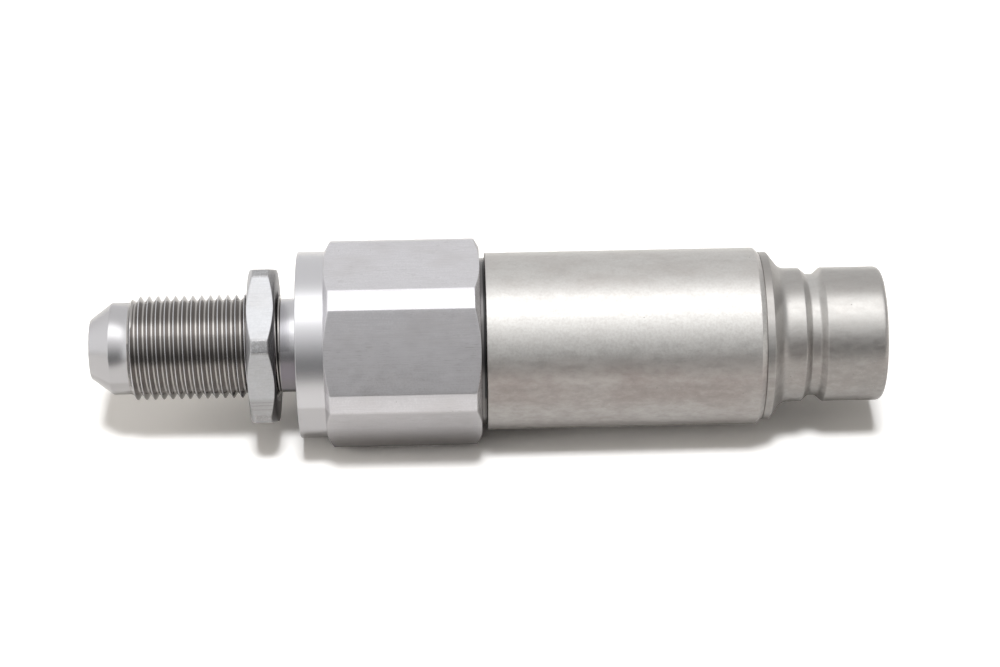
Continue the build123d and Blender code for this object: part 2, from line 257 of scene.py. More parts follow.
class FinishColours(bpy.types.PropertyGroup):
    """Colours and roughnesses of the finishes."""

    sleeve_steel: colour("Sleeve steel", "Plated steel of the sleeve", (0.52, 0.51, 0.495))
    nose_steel: colour("Nose steel", "Darker steel of the nose", (0.357, 0.349, 0.337))
    hex_steel: colour("Hex steel", "Milled steel of the hex", (0.63, 0.62, 0.64))
    collar_steel: colour("Collar steel", "Turned steel of the collar, thread and flare", (0.54, 0.535, 0.55))
    nut_steel: colour("Nut steel", "Milled steel of the lock nut", (0.49, 0.495, 0.51))
    film: colour("Film", "Brownish film on the front of the sleeve and nose", (0.33, 0.285, 0.27))
    # This colour paints the highlight band on the upper side of the sleeve and nose, and colours their real
    # pale blotches and flecks
    pale_and_painted_highlight: colour("Rubbed steel", "A band that is rubbed brighter", (0.68, 0.67, 0.65))
    stain: colour("Stain", "Faint discoloured patches", (0.41, 0.38, 0.36))
    # The register colour is painted shade on the narrow land sunk between the hex and the sleeve
    register_painted_shade: colour("Register steel", "Dull land between the sleeve and the hex", (0.12, 0.115, 0.115))
    seam: colour("Seam", "Shadowed gap behind the sleeve", (0.03, 0.03, 0.03))
    # The neck colour is painted shade on the relief's underside, between the nut and the collar
    neck_painted_shade: colour("Neck steel", "Dull underside of the relief", (0.19, 0.175, 0.195))
    # The thread-roots colour is painted shade on the flanks and roots of the thread
    root: colour("Thread roots", "Dull flanks and roots of the thread", (0.35, 0.335, 0.325))
    # The nick colour is also the colour of most painted shade: under the turned and milled steel, along the
    # nose's top, on the hex's front facet and on faces turned to the nose
    nick: colour("Nicks", "Small dark nicks", (0.20, 0.185, 0.175))
    spring_steel: colour("Spring steel", "Springs", (0.42, 0.41, 0.40))
    rubber: colour("Rubber", "O-rings", (0.012, 0.012, 0.013))
    plastic: colour("Plastic", "Backup rings", (0.75, 0.73, 0.68))
    sleeve_rough: share("Sleeve roughness", "Roughness of the sleeve", 0.43)
    nose_rough: share("Nose roughness", "Roughness of the nose and the valves", 0.38)
    milled_rough: share("Milled roughness", "Roughness of the hex's flats and the nut", 0.40)
    collar_rough: share("Collar roughness", "Roughness of the collar, neck and flare", 0.25)
    thread_rough: share("Thread roughness", "Roughness of the thread and the register", 0.16)


class StageSizes(bpy.types.PropertyGroup):
    """Floor, light and camera."""

    floor_size: length("Floor", "Length of each side of the floor", 6000.0)
    floor_white: share("Floor white", "How much light the floor gives back", 0.98)
    floor_seen: share("Floor seen", "How many times brighter the camera sees it", 1.22, 3.0)
    floor_bounce: share("Floor bounce", "How much of its light the floor gives to the shadows", 0.4)
    floor_shine: share("Floor in metal", "How many times brighter bare metal sees it", 1.03, 3.0)
    floor_far: share("Far floor", "How much of that is left far in front", 0.4)
    floor_near_edge: length("Near floor", "Where it starts to fade in front of the axis", 40.0)
    floor_far_edge: length("Floor fade", "Where it has faded", 200.0)
    sun_strength: share("Sun strength", "Light from the overhead source", 2.15, 10.0)
    sun_size: angle("Sun size", "Angle that the source fills", 12.0)
    sun_tilt: angle("Sun tilt", "How far it leans to the camera's side", 15.8)
    room_low: share("Low room light", "Light from near the horizon", 0.0)
    room_high: share("High room light", "Light from high up", 0.24)
    side_light: share("Side light", "How much is added on the thread's side", 4.4, 10.0)
    end_light: share("End light", "How much is added on the nose's side", 0.9, 10.0)
    nose_side: share("Nose side", "What bare metal sees beyond the nose", 0.55, 2.0)
    thread_side: share("Thread side", "What bare metal sees beyond the thread", 1.3, 2.0)
    room_tint: colour("Room tint", "Colour of that light", (1.0, 0.95, 0.88))
    camera_distance: length("Camera distance", "From the object's axis", 492.9)
    camera_elevation: angle("Camera elevation", "Above the horizon", 35.7)
    camera_station: length("Camera station", "Where the camera stands beside the object", 79.0)
    camera_yaw: angle("Camera yaw", "Turn towards the nose", 1.093)
    camera_pitch: angle("Camera pitch", "Turn upwards", 0.154)
    camera_roll: angle("Camera roll", "Lifts the nose's end in the picture", 1.194)
    lens: FloatProperty(name="Lens", description="Focal length", default=96.95, unit="CAMERA")


# Softness of the edges between the flats and the round corners of hex and nut, and the plunger's edge
CORNER_SOFT = 0.04 * MM
PLUNGER_EDGE = 0.12 * MM

# The thread: half its angle, the softness of crest and root, and the places of its section's points,
# as shares of the pitch from the middle of the crest
FLANK_ANGLE = radians(30)
CREST_SOFT, ROOT_SOFT = 0.06 * MM, 0.16 * MM
SECTION_PLACES = (0.03, 0.06, 0.085, 0.37, 0.41, 0.45)

# Heights of the fine marks across the lock nut's lower flat in millimetres, half the height of a mark,
# its fade and its share
TOOL_MARKS = (-2.45, -3.1, -3.95)
MARK_HALF, MARK_FADE, MARK_SHARE = 0.05, 0.08 * MM, 0.55

# Patterns of the finishes: values between which a mask rises, then its two ends where they aren't 0 and 1
STAIN_EDGES = (0.42, 0.72)
MOTTLE_EDGES = (0.2, 0.8)
DASH_EDGES = (0.58, 0.72)
PATCH_EDGES = (0.40, 0.62)
SPECKLE = (0.35, 0.68, 0.0, 0.3)
FILM_CLOUDS = (0.3, 0.65, 0.55, 1.0)
DARK_BLOTCH = (0.46, 0.68, 0.0, 0.24)
PALE_BLOTCH = (0.52, 0.32, 0.0, 0.10)
STREAK = (0.4, 0.66, 0.0, 0.12)
FROST = (0.35, 0.62, 0.0, 0.55)
PITS = (0.42, 0.56, 0.1, 0.75)
# Painted shade on faces that turn towards the nose
PAINTED_NOSE_SIDE_SHADE = (0.35, 0.6, 0.0, 0.6)

# The same for shades that go by the height over the axis, or on the nut by the place towards the front
FILM_TOP = (8 * MM, 3 * MM)
FILM_FOOT = (-6 * MM, -1 * MM, 0.4, 1.0)
# Painted shade along the top of the nose, between these heights
PAINTED_TOP_SHADE = (11.1 * MM, 12.0 * MM)
# Painted shade on the lower half of the turned steel, full below the second height
PAINTED_TURNED_UNDERSIDE_SHADE = (2.5 * MM, 0.5 * MM, 0.0, 0.34)
BLOTCH_HEIGHTS = (10 * MM, 5 * MM, 0.35, 1.0)
# Painted shade on the lower facets of the hex and nut, and a painted shaded line just below the corner band
PAINTED_MILLED_UNDERSIDE_SHADE = (-1.3 * MM, -14 * MM, 0.0, 0.7)
EDGE_SHADE = (-1.3 * MM, -2.2 * MM, 0.0, 0.34)
# Painted shade that darkens the hex's upper front facet towards its lower edge
PAINTED_FACET_SHADE = (15 * MM, 2 * MM, 0.0, 0.3)
PAINTED_FACET_SHADE_FOOT = (1.9 * MM, 2.1 * MM)
# Painted shade on the neck's underside, below the second height
PAINTED_NECK_SHADE = (5 * MM, 1 * MM)
NUT_FRONT = (-11 * MM, -12 * MM)

# The painted highlight band's lower and upper height and its fade
PAINTED_HIGHLIGHT_BAND = (8 * MM, 13 * MM, 3 * MM)

# Depths under the thread's crests between which the painted shade of its flanks and roots fades in, the same
# under the nut's corners for their wear, and the fade between two zones of the adapter
ROOT_DEPTH, CREST_DEPTH = 0.26 * MM, 0.06 * MM
WORN_DEPTH, WORN_FADE = 0.25 * MM, 0.1 * MM
ZONE_FADE = 0.1 * MM

# Shares of single finishes, and the seam's share of the register's length
NICK_SHARE, FLECK_SHARE, DASH_SHARE, FLARE_SHARE = 0.6, 0.3, 0.3, 0.25
SEAM_SHARE = 0.45

# Tool rings in a millimetre, how deep a nick is beside them, and the depth of the relief
TURNED_RINGS = 5.0
NICK_DEPTH = 2.0
BUMP_DEPTH = 0.01 * MM

# How far a direction leans to a side of the room, or up, where that side starts and where it is full
SIDE_SEEN = (0.6, 0.95)
SIDE_LIT = (0.6, 0.97)
ROOM_RISE = (0.2, 0.9)

# What bare metal sees of the room: the height angle over the front horizon in degrees, and the brightness
ROOM = (
    (-10, 0.28),
    (15, 0.28),
    (30, 0.60),
    (44, 1.0),
    (62, 1.5),
    (70, 2.6),
    (91, 2.6),
    (105, 1.2),
    (118, 1.0),
    (200, 1.0),
)

GROUPS = {
    "coupler_nose": NoseSizes,
    "coupler_joint": JointSizes,
    "coupler_sleeve": SleeveSizes,
    "coupler_adapter": AdapterSizes,
    "coupler_nut": NutSizes,
    "coupler_inner": InnerSizes,
    "coupler_detail": MeshDetail,
    "coupler_finish": FinishColours,
    "coupler_stage": StageSizes,
}


def rounded(corners, arc_step, closed):
    """An outline through the corners (station, radius, round), each rounded by its own radius.

    At a corner where the outline turns by t, the arc of radius r starts r * tan(t / 2) before the corner,
    and its points are its centre plus the first spoke turned by equal shares of t. A support point
    on each side keeps the shading of long straight runs even.
    """
    longest_reach, longest_gap = 0.45, 0.2
    points = np.array([corner[:2] for corner in corners], float)
    count = len(corners)
    outline = []
    for index, (_, _, fillet) in enumerate(corners):
        here = points[index]
        if not closed and index in (0, count - 1):
            outline.append(here[None])
            continue
        before = here - points[index - 1]
        after = points[(index + 1) % count] - here
        before_length, after_length = np.linalg.norm(before), np.linalg.norm(after)
        before, after = before / before_length, after / after_length
        turn = atan2(before[0] * after[1] - before[1] * after[0], float(before @ after))
        shorter = min(before_length, after_length)
        reach = min(fillet * tan(abs(turn) / 2), longest_reach * shorter)
        fillet = reach / tan(abs(turn) / 2)
        side = np.sign(turn) * np.array((-before[1], before[0]))
        start, end = here - before * reach, here + after * reach
        centre = start + side * fillet
        steps = max(2, ceil(abs(turn) / arc_step))
        turns = turn * np.arange(steps + 1) / steps
        spoke = start - centre
        square = np.array((-spoke[1], spoke[0]))
        arc = centre + (np.outer(np.cos(turns), spoke) + np.outer(np.sin(turns), square))
        gap_before = min(reach, longest_gap * before_length)
        gap_after = min(reach, longest_gap * after_length)
        outline.append(np.vstack((start - before * gap_before, arc, end + after * gap_after)))
    return np.vstack(outline)


def even_turns(sides):
    """Angles of even divisions round the axis."""
    return np.arange(sides) * 2 * pi / sides


def woven(points, shift=0, loop=False):
    """The points of a grid of rows by columns in one list, and the quads between them.

    Behind the last column, row k goes on as row k - shift of the first one, as a helix does. loop joins the
    last row to the first.
    """
    rows, columns = points.shape[:2]
    index = np.arange(rows * columns).reshape(rows, columns)
    wide = np.hstack((index, np.roll(index, shift, axis=0)[:, :1]))
    if loop:
        wide = np.vstack((wide, wide[:1]))
    quads = np.stack((wide[:-1, :-1], wide[:-1, 1:], wide[1:, 1:], wide[1:, :-1]), axis=-1)
    if shift:
        quads = np.concatenate((quads[:, :-1].reshape(-1, 4), quads[shift:, -1]))
    return points.reshape(-1, 3), quads.reshape(-1, 4)


def strip(station, radius, turns, shift=0, loop=False):
    """Points and quads of a surface round the axis.

    station and radius are grids of rows by columns, or one column, and turns holds the columns' angles.
    """
    station, radius, turns = np.broadcast_arrays(station, radius, turns)
    return woven(np.stack((-station, radius * np.cos(turns), radius * np.sin(turns)), axis=-1), shift, loop)


def turned_strip(corners, turns, detail, closed=False):
    """An outline with its corners rounded, turned about X: r and x stay the same all round."""
    outline = rounded(corners, detail.arc_step, closed)
    return strip(outline[:, :1], outline[:, 1:], turns, loop=closed)


def make_piece(name, strips):
    """A closed mesh piece from strips of points and quads, welded where they meet, its faces outwards."""
    starts = np.cumsum([0] + [len(points) for points, _ in strips[:-1]])
    points = np.concatenate([points for points, _ in strips])
    quads = np.concatenate([quads + start for (_, quads), start in zip(strips, starts)])
    mesh = bpy.data.meshes.new(name)
    mesh.from_pydata(points, [], quads)
    welded = bmesh.new()
    welded.from_mesh(mesh)
    bmesh.ops.remove_doubles(welded, verts=welded.verts, dist=WELD)
    bmesh.ops.dissolve_degenerate(welded, edges=welded.edges, dist=WELD)
    bmesh.ops.recalc_face_normals(welded, faces=welded.faces)
    welded.to_mesh(mesh)
    welded.free()
    mesh.shade_smooth()
    piece = bpy.data.objects.new(name, mesh)
    bpy.context.scene.collection.objects.link(piece)
    return piece


def turned_piece(name, corners, detail, closed=True):
    """A piece turned about X."""
    return make_piece(name, [turned_strip(corners, even_turns(detail.sides), detail, closed)])


def dress(piece, body, slot, material, *nodes):
    """Gives a new piece its material, lets it stand for its solids and ride on their body; slot is not used.
    """
    piece.data.materials.append(material)
    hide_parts(*nodes)
    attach(piece, body)


def dress_solid(node, material):
    """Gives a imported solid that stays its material."""
    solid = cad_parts[node]
    solid.data.materials.clear()
    solid.data.materials.append(material)


def group_tree(name, numbers, results):
    """A shader node group with a position and numbers going in and values coming out, all by name."""
    tree = bpy.data.node_groups.new(name, "ShaderNodeTree")
    tree.interface.new_socket("Position", in_out="INPUT", socket_type="NodeSocketVector")
    for socket, value in numbers.items():
        made = tree.interface.new_socket(socket, in_out="INPUT", socket_type="NodeSocketFloat")
        made.default_value = value
    for socket in results:
        tree.interface.new_socket(socket, in_out="OUTPUT", socket_type="NodeSocketFloat")
    return tree, tree.nodes.new("NodeGroupInput").outputs, tree.nodes.new("NodeGroupOutput").inputs


def feed(socket, value):
    """Links an output into a socket, or sets the socket to a number, a vector or a colour."""
    if isinstance(value, bpy.types.NodeSocket):
        socket.id_data.links.new(value, socket)
    else:
        socket.default_value = (*value, 1.0) if socket.type == "RGBA" else value


def new_node(tree, kind, given=(), **settings):
    """A new shader node with its settings, and with what goes into its sockets by their name or place."""
    node = tree.nodes.new(f"ShaderNode{kind}")
    for setting, value in settings.items():
        setattr(node, setting, value)
    for socket, value in dict(given).items():
        feed(node.inputs[socket], value)
    return node


def math_node(operation, *values, clamp=False):
    """The result of a Math node on values, the first of which is a socket."""
    given = dict(enumerate(values))
    return new_node(values[0].id_data, "Math", given, operation=operation, use_clamp=clamp).outputs[0]


def product(first, *others):
    """A socket times each of the other values."""
    for other in others:
        first = math_node("MULTIPLY", first, other)
    return first


def fade(value, start, end, first=0.0, last=1.0):
    """The first number up to the start, the last one beyond the end, and a smooth way between them."""
    given = {"Value": value, "From Min": start, "From Max": end, "To Min": first, "To Max": last}
    return new_node(value.id_data, "MapRange", given, interpolation_type="SMOOTHSTEP").outputs["Result"]


def between(value, low, high, width):
    """A mask that is 1 between two values and fades out over a width just outside them."""
    return product(fade(value, low - width, low), fade(value, high, high + width, 1.0, 0.0))


def stretched(position, along, across):
    """A position in repeats of a pattern, of which a metre holds so many along X and across it."""
    given = {0: position, 1: (along, across, across)}
    return new_node(position.id_data, "VectorMath", given, operation="MULTIPLY").outputs[0]


def noise(vector, scale=1.0, detail=3.0, roughness=0.55):
    """A noise texture's value on a vector."""
    given = {"Vector": vector, "Scale": scale, "Detail": detail, "Roughness": roughness}
    return new_node(vector.id_data, "TexNoise", given).outputs["Fac"]


def mixed(factor, first, second):
    """The first colour where the factor is 0 and the second where it is 1, from colours or sockets."""
    given = {"Factor": factor, 6: first, 7: second}
    return new_node(factor.id_data, "Mix", given, data_type="RGBA").outputs[2]


def painted(shade, *layers):
    """A shade under layers, each of them a mask and the colour that it brings."""
    for mask, tint in layers:
        shade = mixed(mask, shade, tint)
    return shade


def blended(factor, first, second):
    """The first value where the factor is 0 and the second where it is 1, from numbers or sockets."""
    given = {"Factor": factor, "A": first, "B": second}
    return new_node(factor.id_data, "Mix", given).outputs["Result"]


def parts_of(vector):
    """The three numbers of a vector, as sockets."""
    return new_node(vector.id_data, "SeparateXYZ", {0: vector}).outputs[:]


def axis_distance(side, height):
    """The distance from the X axis."""
    squares = [math_node("POWER", value, 2.0) for value in (side, height)]
    return math_node("SQRT", math_node("ADD", *squares))


def turned_grain(name):
    """Rings left by a turning tool: one-dimensional noise along X, broken up by noise round the axis."""
    tree, given, result = group_tree(name, {"Rings per mm": 6.0}, ("Height",))
    position = given["Position"]
    along = parts_of(position)[0]
    per_metre = product(given["Rings per mm"], 1 / MM)
    rings = {"W": product(along, per_metre), "Scale": 1.0, "Detail": 4.0, "Roughness": 0.7}
    ringed = new_node(tree, "TexNoise", rings, noise_dimensions="1D").outputs["Fac"]
    broken = noise(stretched(position, along=4000.0, across=350.0))
    feed(result["Height"], math_node("ADD", ringed, product(broken, 0.5)))


def milled_grain(name):
    """Fine lines along X left by a cutter: noise stretched along X, patches of short dashes, and speckle."""
    _, given, result = group_tree(name, {}, ("Height", "Dash", "Speckle"))
    position = given["Position"]
    dashes = noise(stretched(position, along=650.0, across=7000.0), detail=2.0, roughness=0.5)
    patches = noise(stretched(position, along=120.0, across=180.0), detail=2.0, roughness=0.5)
    lines = noise(stretched(position, along=220.0, across=5200.0), detail=4.0, roughness=0.6)
    feed(result["Height"], lines)
    feed(result["Dash"], product(fade(dashes, *DASH_EDGES), fade(patches, *PATCH_EDGES)))
    feed(result["Speckle"], noise(position, scale=3200.0, detail=2.0, roughness=0.6))


def stains(name):
    """Soft cloudy patches a few millimetres wide, and finer mottling inside them."""
    _, given, result = group_tree(name, {"Amount": 0.5}, ("Mask", "Mottle", "Cloud"))
    position = given["Position"]
    cloud = noise(stretched(position, along=90.0, across=150.0), detail=4.0, roughness=0.6)
    feed(result["Mask"], product(fade(cloud, *STAIN_EDGES), given["Amount"]))
    feed(result["Mottle"], noise(stretched(position, along=500.0, across=900.0), detail=3.0, roughness=0.6))
    feed(result["Cloud"], cloud)


def nicks(name):
    """Small sparse pits: cells of a Voronoi pattern whose own random number is low hold one dot each."""
    tree, given, result = group_tree(name, {"Cells per mm": 0.5, "Share": 0.1, "Size": 0.1}, ("Mask",))
    per_metre = product(given["Cells per mm"], 1 / MM)
    cells = new_node(tree, "TexVoronoi", {"Vector": given["Position"], "Scale": per_metre}).outputs
    own_number = new_node(tree, "SeparateColor", {0: cells["Color"]}).outputs[0]
    here = math_node("LESS_THAN", own_number, given["Share"])
    near = math_node("SUBTRACT", given["Size"], cells["Distance"])
    dot = math_node("DIVIDE", near, product(given["Size"], 0.5), clamp=True)
    feed(result["Mask"], product(dot, here))


def place(maker, position, **values):
    """The outputs of a shared group on a position, with its values set by name.

    The group is named after its maker, and made when it is first asked for.
    """
    if maker.__name__ not in bpy.data.node_groups:
        maker(maker.__name__)
    node = position.id_data.nodes.new("ShaderNodeGroup")
    node.node_tree = bpy.data.node_groups[maker.__name__]
    feed(node.inputs["Position"], position)
    for socket, value in values.items():
        feed(node.inputs[socket.replace("_", " ")], value)
    return node.outputs


def new_material(name, metallic, roughness):
    """A material with a Principled shader: the material, the shader's sockets and the coordinates."""
    material = bpy.data.materials.new(name)
    material.use_nodes = True
    shader = material.node_tree.nodes["Principled BSDF"].inputs
    shader["Metallic"].default_value = metallic
    shader["Roughness"].default_value = roughness
    return material, shader, new_node(material.node_tree, "TexCoord").outputs


def add_bump(shader, height, strength):
    """A Bump node from a height to the shader's normal."""
    given = {"Strength": strength, "Distance": BUMP_DEPTH, "Height": height}
    feed(shader["Normal"], new_node(height.id_data, "Bump", given).outputs[0])


def mottled(stain, rough, less, more):
    """A roughness that goes from less to more than its own value with the mottling of the stains."""
    return fade(stain["Mottle"], *MOTTLE_EDGES, rough - less, rough + more)


def nicked(height, nick):
    """A height with the nicks sunk into it."""
    return math_node("SUBTRACT", height, product(nick["Mask"], NICK_DEPTH))


def darker(tint, part):
    """A part of a colour's brightness."""
    return tuple(part * value for value in tint)


def turned_steel(name, tint, rough, finish, stain_amount, film=0.0, painted_top_shade=0.0):
    """Plated steel turned on a lathe, with faint stains, mottling and nicks.

    film is the share of a brownish film along the front and also of a painted highlight band above it.
    The last argument is the share of painted shade along the top. Below the axis it always gets some painted
    shade.
    """
    material, shader, coordinates = new_material(name, metallic=1.0, roughness=rough)
    position = coordinates["Object"]
    height = parts_of(position)[2]
    grain = place(turned_grain, position, Rings_per_mm=TURNED_RINGS)
    stain = place(stains, position, Amount=stain_amount)
    nick = place(nicks, position, Cells_per_mm=0.45, Share=0.14, Size=0.085)
    fleck = place(nicks, position, Cells_per_mm=1.6, Share=0.12, Size=0.12)
    speckle = noise(position, scale=2200.0, detail=3.0, roughness=0.65)
    blotch = noise(stretched(position, along=420.0, across=800.0), detail=5.0, roughness=0.7)
    clouds = fade(stain["Cloud"], *FILM_CLOUDS)
    film_mask = product(fade(height, *FILM_TOP, 0.0, film), fade(height, *FILM_FOOT), clouds)
    blotched = fade(height, *BLOTCH_HEIGHTS)
    shade = painted(
        tint,
        (stain["Mask"], finish.stain),
        # Painted highlight: a brighter band on the upper side, where the overhead light's reflection falls
        (product(between(height, *PAINTED_HIGHLIGHT_BAND), film), finish.pale_and_painted_highlight),
        (film_mask, finish.film),
        (fade(speckle, *SPECKLE), finish.stain),
        # Painted shade on the lower half
        (fade(height, *PAINTED_TURNED_UNDERSIDE_SHADE), finish.nick),
        # Painted shade along the top
        (fade(height, *PAINTED_TOP_SHADE, 0.0, painted_top_shade), finish.nick),
        (product(fade(blotch, *DARK_BLOTCH), blotched), finish.nick),
        (product(fade(blotch, *PALE_BLOTCH), blotched), finish.pale_and_painted_highlight),
        (product(fleck["Mask"], FLECK_SHARE), finish.pale_and_painted_highlight),
        (product(nick["Mask"], NICK_SHARE), finish.nick),
    )
    feed(shader["Base Color"], shade)
    feed(shader["Roughness"], mottled(stain, rough, less=0.06, more=0.06))
    add_bump(shader, nicked(grain["Height"], nick), strength=0.2)
    return material


def adapter_zones(finish, adapter, along, height, distance):
    """Where the adapter is milled, the roughness where it is turned, and the layers of its turned zones:
    painted shade on the thread's flanks and roots, the neck's underside, the register and the seam, and a
    darker flare.
    """
    sleeve_rear = stations("sleeve")[1]
    hex_front, hex_rear, collar_rear, neck_rear, thread_rear, _ = adapter.stations()
    crest = adapter.thread_dia / 2
    seam_end = sleeve_rear + SEAM_SHARE * adapter.register_length
    milled = between(along, -hex_rear, -hex_front, ZONE_FADE)
    threaded = between(along, -thread_rear, -neck_rear, ZONE_FADE)
    root = fade(distance, crest - ROOT_DEPTH, crest - CREST_DEPTH, 1.0, 0.0)
    neck = between(along, -neck_rear, -collar_rear, ZONE_FADE)
    register = between(along, -hex_front + ZONE_FADE, -sleeve_rear, ZONE_FADE)
    layers = (
        # Painted shade on the thread's flanks and roots, all but the crests
        (product(root, threaded), finish.root),
        # Painted shade on the neck's underside
        (product(neck, fade(height, *PAINTED_NECK_SHADE)), finish.neck_painted_shade),
        (fade(along, -thread_rear + ZONE_FADE, -thread_rear - ZONE_FADE, 0.0, FLARE_SHARE), finish.nick),
        # Painted shade on the register, sunk between the hex and the sleeve
        (register, finish.register_painted_shade),
        (between(along, -seam_end, -sleeve_rear, 0.5 * ZONE_FADE), finish.seam),
    )
    bright = math_node("MAXIMUM", threaded, register)
    return milled, blended(bright, finish.collar_rough, finish.thread_rough), layers


def nut_layers(finish, grain, side, height, distance):
    """Layers of the nut: its worn, pitted corners and the fine marks across its lower flat."""
    corner = outer_radius("lock_nut")
    worn = fade(distance, corner - WORN_DEPTH, corner - WORN_FADE)
    layers = [(product(worn, fade(grain["Speckle"], *PITS)), finish.nick)]
    front = fade(side, *NUT_FRONT)
    for level in TOOL_MARKS:
        mark = between(height, (level - MARK_HALF) * MM, (level + MARK_HALF) * MM, MARK_FADE)
        layers.append((product(mark, front, MARK_SHARE), finish.nick))
    return layers


def milled_steel(name, tint, finish, adapter=None):
    """Milled steel with fine lines along the axis and painted shade below and on faces turned to the nose; on
    the adapter, turned steel behind the hex's flats.
    """
    material, shader, coordinates = new_material(name, metallic=1.0, roughness=finish.milled_rough)
    position = coordinates["Object"]
    along, side, height = parts_of(position)
    distance = axis_distance(side, height)
    grain = place(milled_grain, position)
    stain = place(stains, position, Amount=0.25)
    nick = place(nicks, position, Cells_per_mm=0.7, Share=0.08, Size=0.09)
    rough = mottled(stain, finish.milled_rough, less=0.04, more=0.05)
    relief, dashes = grain["Height"], product(grain["Dash"], DASH_SHARE)
    streak, frost = fade(relief, *STREAK), fade(grain["Speckle"], *FROST)
    shade = mixed(stain["Mask"], tint, finish.stain)
    if adapter is None:
        shade = painted(shade, *nut_layers(finish, grain, side, height, distance))
    else:
        milled, turned_rough, layers = adapter_zones(finish, adapter, along, height, distance)
        turned = place(turned_grain, position, Rings_per_mm=TURNED_RINGS)
        # slope is painted shade, darker towards the lower edge of the hex's front facet
        slope = product(fade(height, *PAINTED_FACET_SHADE), fade(height, *PAINTED_FACET_SHADE_FOOT))
        shade = painted(mixed(milled, finish.collar_steel, shade), *layers)
        rough = blended(milled, turned_rough, rough)
        relief = blended(milled, turned["Height"], relief)
        # From here the streaks also carry that painted shade
        streak = math_node("ADD", streak, slope)
        dashes, streak, frost = (product(mask, milled) for mask in (dashes, streak, frost))
    to_nose = parts_of(coordinates["Normal"])[0]
    # Painted shade on the lower facets and just below the corner band
    underside = math_node("MAXIMUM", fade(height, *PAINTED_MILLED_UNDERSIDE_SHADE), fade(height, *EDGE_SHADE))
    shade = painted(
        shade,
        # Streaks, and on the hex the painted shade of its front facet
        (streak, finish.nick),
        # Painted shade on the faces turned towards the nose
        (fade(to_nose, *PAINTED_NOSE_SIDE_SHADE), finish.nick),
        (frost, darker(tint, part=0.86)),
        (underside, finish.nick),
        (math_node("MAXIMUM", product(nick["Mask"], NICK_SHARE), dashes), finish.nick),
    )
    feed(shader["Base Color"], shade)
    feed(shader["Roughness"], rough)
    add_bump(shader, nicked(relief, nick), strength=0.4)
    return material


def plain_finish(name, tint, metallic, roughness):
    """A material for inner pieces: one tint with fine mottling in its colour and roughness."""
    material, shader, coordinates = new_material(name, metallic, roughness)
    stain = place(stains, coordinates["Object"], Amount=0.2)
    feed(shader["Base Color"], mixed(stain["Mask"], tint, darker(tint, part=0.8)))
    feed(shader["Roughness"], mottled(stain, roughness, less=0.05, more=0.05))
    add_bump(shader, stain["Mottle"], strength=0.2)
    return material


def spigot_corners(face, way, joint, edge):
    """Corners of a joint spigot from its shoulder's face, pointing back where way is 1 and forwards at -1."""
    pilot, thread = joint.pilot_dia / 2, joint.thread_dia / 2
    floor = pilot - joint.gland_depth
    gland = face + way * joint.gland_offset
    gland_end = gland + way * joint.gland_width
    pilot_end = face + way * joint.pilot_length
    end = pilot_end + way * joint.thread_length
    return [
        (face, pilot, edge),
        (gland, pilot, edge),
        (gland, floor, edge),
        (gland_end, floor, edge),
        (gland_end, pilot, edge),
        (pilot_end, pilot, edge),
        (pilot_end, thread, edge),
        (end - way * joint.end_chamfer, thread, edge),
        (end, thread - joint.end_chamfer, edge),
    ]


class COUPLER_OT_nose(bpy.types.Operator):
    """Makes the nose with its ball groove, cone and shoulder"""

    bl_idname = "coupler.nose"
    bl_label = "Nose"

    def execute(self, context):
        scene = context.scene
        nose, joint, finish = scene.coupler_nose, scene.coupler_joint, scene.coupler_finish
        edge = scene.coupler_sleeve.edge_round
        land, floor, bore = nose.nose_dia / 2, nose.groove_dia / 2, nose.bore_dia / 2
        shoulder, chamber = nose.shoulder_dia / 2, nose.chamber_dia / 2
        groove_end = nose.groove_station + 2 * nose.groove_slope + nose.groove_floor
        cone_start = groove_end + nose.rear_land
        foot = nose.foot_round * tan(nose.cone_angle / 2)
        sleeve_front = stations("sleeve")[0]
        shoulder_start = sleeve_front - nose.shoulder_width
        spigot = spigot_corners(sleeve_front, 1, joint, edge)
        corners = [
            (0.0, bore, edge),
            (0.0, land, nose.edge_round),
            (nose.groove_station, land, 2 * edge),
            (nose.groove_station + nose.groove_slope, floor, nose.groove_round),
            (groove_end - nose.groove_slope, floor, nose.groove_round),
            (groove_end, land, 2 * edge),
            (cone_start + foot, land, nose.foot_round),
            (shoulder_start, shoulder, 2 * edge),
            (sleeve_front, shoulder, edge),
            *spigot,
            (spigot[-1][0], chamber, edge),
            (nose.bore_land + chamber - bore, chamber, edge),
            (nose.bore_land, bore, edge),
        ]
        piece = turned_piece("nose_turned", corners, scene.coupler_detail)
        material = turned_steel(
            "nose steel", finish.nose_steel, finish.nose_rough, finish,
            stain_amount=0.3, film=0.32, painted_top_shade=0.38,
        )
        dress(piece, "housing", "nose_steel", material, "nose")
        return {"FINISHED"}


